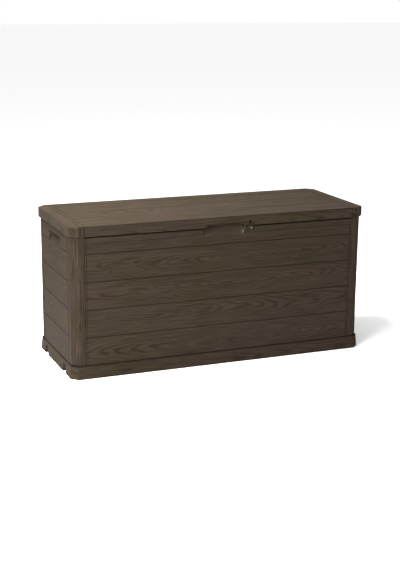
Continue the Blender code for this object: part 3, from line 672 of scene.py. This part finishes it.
def dress_lid(material):
    """The lid with grained boards on top, a grained rim and soft corners."""
    fine_x = [side * x for side in (-1, 1) for x in BAND_GROOVES]
    middle = spaced(-BAND_START, BAND_START, ALONG, fine_x)
    middle = middle[np.abs(middle) < BAND_KEPT]
    ends = np.arange(BAND_FINE[1], HALF_X + SPAN, ACROSS)
    band = np.arange(*BAND_FINE, FINE)
    x = np.unique(np.round(np.concatenate([middle, ends, -ends, band, -band]), 6))
    y = spaced(-HALF_Y - SPAN, HALF_Y + SPAN, ACROSS, TOP_GROOVES)
    depth = lid_top_relief(x[:, None], y[None, :])
    thickness = TOP - RIM_BOTTOM + SPAN
    top = slab("envelope_lid_top", (0, 0, TOP), (1, 0, 0), (0, 1, 0), x, y, depth, thickness)

    outline = chamfered(HALF_X, HALF_Y, LID_CHAMFER)
    path, normals = rounded_path(outline, LID_RADIUS, ALONG, True, fine_x)
    run = run_of(path)
    z = spaced(RIM_BOTTOM - SPAN, TOP + SPAN, ACROSS)
    depth = wood(run[:, None], z[None, :] - (TOP + RIM_BOTTOM) / 2, 600, tilt=0.03)
    flat = np.abs(normals[:, 1]) > 0.99
    for place in fine_x:
        depth[flat] += groove(path[flat, 0], place, GROOVE_HALF, LID_GROOVE_DEEP)[:, None]
    rim = sleeve("envelope_lid_rim", path, normals, z, depth)
    sides = hull_distance(HALF_X, HALF_Y, LID_CHAMFER)
    # Painted shade by depth in from the sides and top; the arrises lightened as rubbed wear and a
    # painted highlight.
    return press("lid_boards", "lid_shell", [top, rim], material,
                 lambda x, y, z: np.minimum(sides(x, y, z), TOP - z),
                 arris_wear_and_highlight(HALF_X, HALF_Y, LID_CHAMFER, LID_WEAR_AND_HIGHLIGHT), "lid")


def dress_skirt(material):
    """The base tray with a grained, flared skirt and soft corners."""
    outline = chamfered(HALF_X, HALF_Y, SKIRT_CHAMFER)
    path, normals = rounded_path(outline, SKIRT_RADIUS, ALONG, True)
    run = run_of(path)
    z = spaced(-SPAN, SKIRT_TOP + SPAN, ACROSS)
    inset = np.interp(z, SKIRT_LEVELS, SKIRT_INSETS)
    depth = wood(run[:, None], z[None, :] - SKIRT_TOP / 2, 700, tilt=0.03) + inset[None, :]
    envelope = sleeve("envelope_skirt", path, normals, z, depth)
    sides = hull_distance(HALF_X, HALF_Y, SKIRT_CHAMFER)
    # Painted shade by depth in from the sides; the arrises lightened as rubbed wear and a painted
    # highlight.
    return press("base_skirt", "base_tray", [envelope], material,
                 lambda x, y, z: sides(x, y, z) - np.interp(z, SKIRT_LEVELS[2:4], SKIRT_INSETS[2:4]),
                 arris_wear_and_highlight(HALF_X, HALF_Y, SKIRT_CHAMFER, SKIRT_WEAR_AND_HIGHLIGHT), "box")


# ---------------------------------------------------------------- scene
def add_camera():
    """The photograph's viewing angle, as an orbit round a point near the box's middle."""
    azimuth, elevation, roll = (math.radians(a) for a in (-22.364, 14.471, 0.558))
    distance = 4.645
    target = Vector((-0.0022, 0.0, 0.2496))
    back = Vector((math.sin(azimuth) * math.cos(elevation), -math.cos(azimuth) * math.cos(elevation),
                   math.sin(elevation)))
    right = Vector((math.cos(azimuth), math.sin(azimuth), 0))
    up = back.cross(right)
    turned_right = right * math.cos(roll) + up * math.sin(roll)
    turned_up = up * math.cos(roll) - right * math.sin(roll)
    data = bpy.data.cameras.new("camera")
    data.sensor_width = 36
    data.lens = 75.89
    camera = bpy.data.objects.new("camera", data)
    camera.matrix_world = (Matrix.Translation(target + back * distance)
                           @ Matrix((turned_right, turned_up, back)).transposed().to_4x4())
    bpy.context.scene.collection.objects.link(camera)
    bpy.context.scene.camera = camera


def add_light(name, place, target, size, power):
    data = bpy.data.lights.new(name, "AREA")
    data.shape = "DISK"
    data.size = size
    data.energy = power
    light = bpy.data.objects.new(name, data)
    light.location = place
    light.rotation_mode = "QUATERNION"
    light.rotation_quaternion = (Vector(target) - Vector(place)).to_track_quat("-Z", "Y")
    bpy.context.scene.collection.objects.link(light)


def add_floor():
    far = 30.0
    mesh = bpy.data.meshes.new("floor")
    corners = [(-far, -far, 0), (far, -far, 0), (far, far, 0), (-far, far, 0)]
    mesh.from_pydata(corners, [], [(0, 1, 2, 3)])
    floor = bpy.data.objects.new("floor", mesh)
    bpy.context.scene.collection.objects.link(floor)
    material, _, shader = nodes_of("floor_paper")
    shader.inputs["Base Color"].default_value = (0.93, 0.93, 0.93, 1)
    shader.inputs["Roughness"].default_value = 0.9
    mesh.materials.append(material)
    floor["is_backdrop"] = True


def add_world():
    world = bpy.data.worlds.new("studio")
    world.use_nodes = True
    background = world.node_tree.nodes["Background"]
    background.inputs["Color"].default_value = (1, 1, 1, 1)
    background.inputs["Strength"].default_value = 1.0
    bpy.context.scene.world = world
    bpy.context.scene.view_settings.view_transform = "Standard"


level_grain = (14.0, 260.0, 260.0)
end_grain = (260.0, 14.0, 260.0)
upright_grain = (260.0, 260.0, 14.0)
walls = moulded("boards_brown", 0.55, level_grain, 0.26)
end_walls = moulded("end_boards_brown", 0.55, end_grain, 0.30)
posts = moulded("posts_brown", 0.55, upright_grain, 0.45)
lid_plastic = moulded("lid_boards_brown", 0.50, level_grain, 0.34)
hinge_plastic = plain_moulded("hinge_plastic", (0.024, 0.018, 0.012), 0.5, shine=0.03)
eye_plastic = plain_moulded("eye_plastic", (0.055, 0.045, 0.036), 0.5, shine=0.03)
zinc = plain_moulded("zinc", (0.070, 0.070, 0.074), 0.45, scale=120.0, metallic=1.0, vary=0.10)
rubber = plain_moulded("wheel_plastic", (0.005, 0.005, 0.005), 0.6, shine=0.01, vary=0.3)

# The front's finger scoop gets a painted highlight; the lock's recess and the step under the rim get a
# painted crevice shade.
dress_panel("front_boards", "front_panel", (0, -WALL_Y, 0), (1, 0, 0), SEAM_X, 100,
            FRONT_KNOTS, walls, front_distance, faint=True, wear_and_highlight=scoop_painted_highlight)
hinge_calm = []
for number in (1, 2, 3):
    low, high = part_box(f"hinge_body_leaf_{number}")
    hinge_calm.append((-high.x - 0.004, -low.x + 0.004, low.z - 0.004, high.z + 0.02))
dress_panel("rear_boards", "rear_panel", (0, WALL_Y, 0), (-1, 0, 0), SEAM_X, 200,
            REAR_KNOTS, walls, lambda x, y, z: WALL_Y - y, calm=hinge_calm)
dress_panel("left_end_boards", "left_end_panel", (-WALL_X, 0, 0), (0, -1, 0), SEAM_Y, 300,
            LEFT_KNOTS, end_walls, lambda x, y, z: x + WALL_X)
dress_panel("right_end_boards", "right_end_panel", (WALL_X, 0, 0), (0, 1, 0), SEAM_Y, 350,
            RIGHT_KNOTS, end_walls, lambda x, y, z: WALL_X - x)
dress_post("post_front_right", "corner_post_front_right", (WALL_X, -WALL_Y), (1, 0), (0, 1), 810, posts)
dress_post("post_rear_right", "corner_post_rear_right", (WALL_X, WALL_Y), (0, 1), (-1, 0), 820, posts)
dress_post("post_rear_left", "corner_post_rear_left", (-WALL_X, WALL_Y), (-1, 0), (0, -1), 830, posts)
dress_post("post_front_left", "corner_post_front_left", (-WALL_X, -WALL_Y), (0, -1), (1, 0), 840, posts)
dress_lid(lid_plastic)
dress_skirt(walls)

for name, node in nodes.items():
    if name.startswith("hinge_pin") or name.startswith("hinge_screw") or name.startswith("wheel_axle"):
        material = zinc
    elif name.startswith("hinge"):
        material = hinge_plastic
    elif name == "padlock_eye":
        material = eye_plastic
    elif name.startswith("wheel"):
        material = rubber
    else:
        continue
    node.data.materials.clear()
    node.data.materials.append(material)

add_camera()
add_floor()
add_world()
add_light("key", (-1.75, -1.50, 1.5), (-0.3, 0, 0.3), size=1.3, power=122)
add_light("overhead", (-1.0, 0.1, 2.4), (-0.3, 0.1, 0.5), size=1.2, power=275)

low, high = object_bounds()
